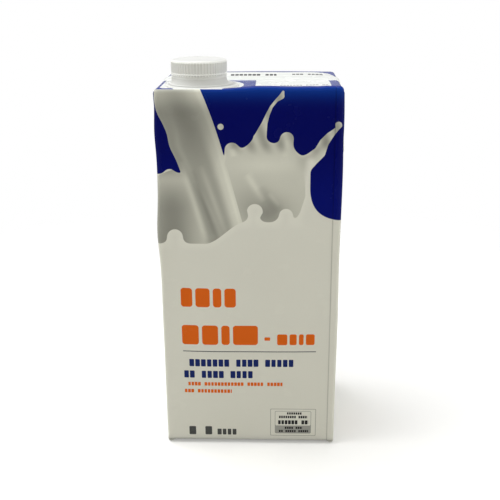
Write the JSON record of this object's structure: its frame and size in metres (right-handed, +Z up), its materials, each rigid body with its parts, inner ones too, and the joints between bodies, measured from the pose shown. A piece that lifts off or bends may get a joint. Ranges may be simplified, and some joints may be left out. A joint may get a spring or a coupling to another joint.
{
  "type": "milk carton",
  "caption": "Upright brick carton of folded board for one litre, with hanging side flaps, a sealed top fin and a ribbed screw cap on a glued spout.",
  "frame": {"origin": "centre of the base, on the surface that the carton stands on", "axes": "+Z up; +X to the right when the front panel is seen; the front panel faces -Y, and the spout stands toward -X and -Y on the top panel"},
  "size_m": [0.0924, 0.0724, 0.192],
  "materials": {
    "printed_board": "satin film over printed board",
    "cap_plastic": "satin white polyethylene"
  },
  "bodies": {
    "root": {"carton": "printed_board", "spout": "cap_plastic", "tamper_ring": "cap_plastic", "screw_cap": "cap_plastic"}
  },
  "joints": []
}
